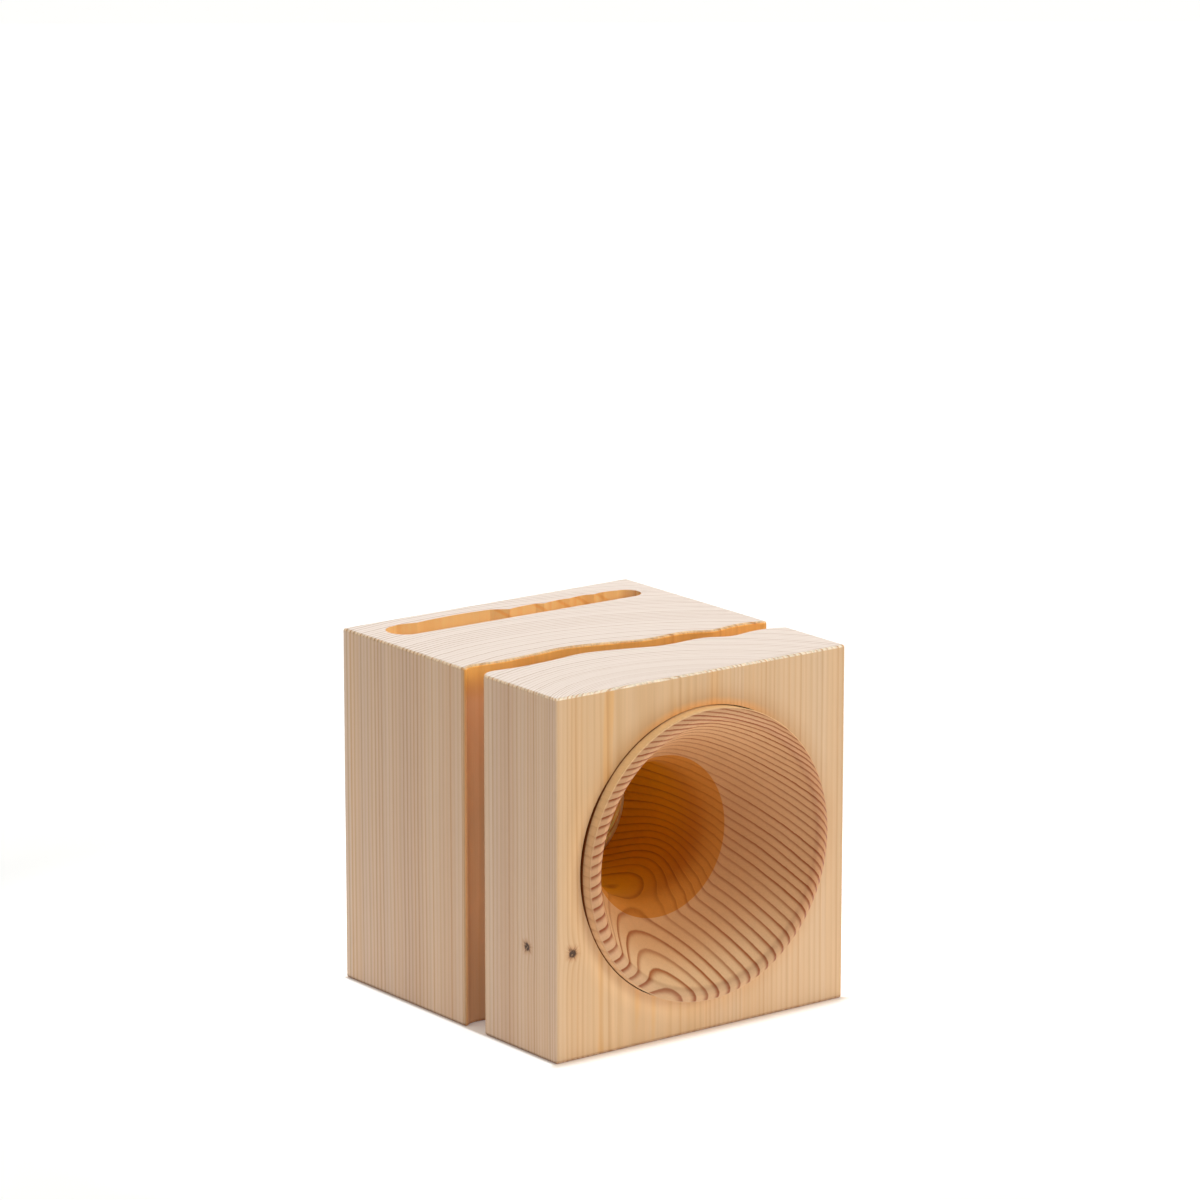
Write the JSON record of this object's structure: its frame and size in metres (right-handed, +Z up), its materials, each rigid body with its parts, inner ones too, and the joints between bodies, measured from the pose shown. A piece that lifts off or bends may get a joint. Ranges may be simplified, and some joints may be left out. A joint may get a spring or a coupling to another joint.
{
  "type": "phone stand",
  "caption": "Wooden phone stand and passive amplifier: two sawn blocks with a wavy gap between them, a slot on top for the phone, and a turned horn pushed in from the front.",
  "frame": {"origin": "the centre of the bounding box's footprint, on the table", "axes": "+X to the right as seen from the front, -Y out of the horn's mouth, +Z up out of the phone slot"},
  "size_m": [0.1, 0.1046, 0.1022],
  "materials": {
    "beam_wood": "bare spruce, sawn and lightly sanded, matt",
    "beam_wood_front": "bare spruce, sawn and lightly sanded, matt",
    "horn_wood": "bare turned fir, smooth, matt"
  },
  "bodies": {
    "rear": {"rear_block": "beam_wood"},
    "front": {"front_block": "beam_wood_front"},
    "horn": {"horn": "horn_wood"}
  },
  "joints": [
    {"name": "horn_pull", "type": "slide", "parent": "rear", "child": "horn", "axis": [0, -1, 0], "range_m": [0, 0.062]},
    {"name": "front_slide", "type": "slide", "parent": "rear", "child": "front", "axis": [0, -1, 0], "range_m": [-0.007, 0.042]}
  ]
}
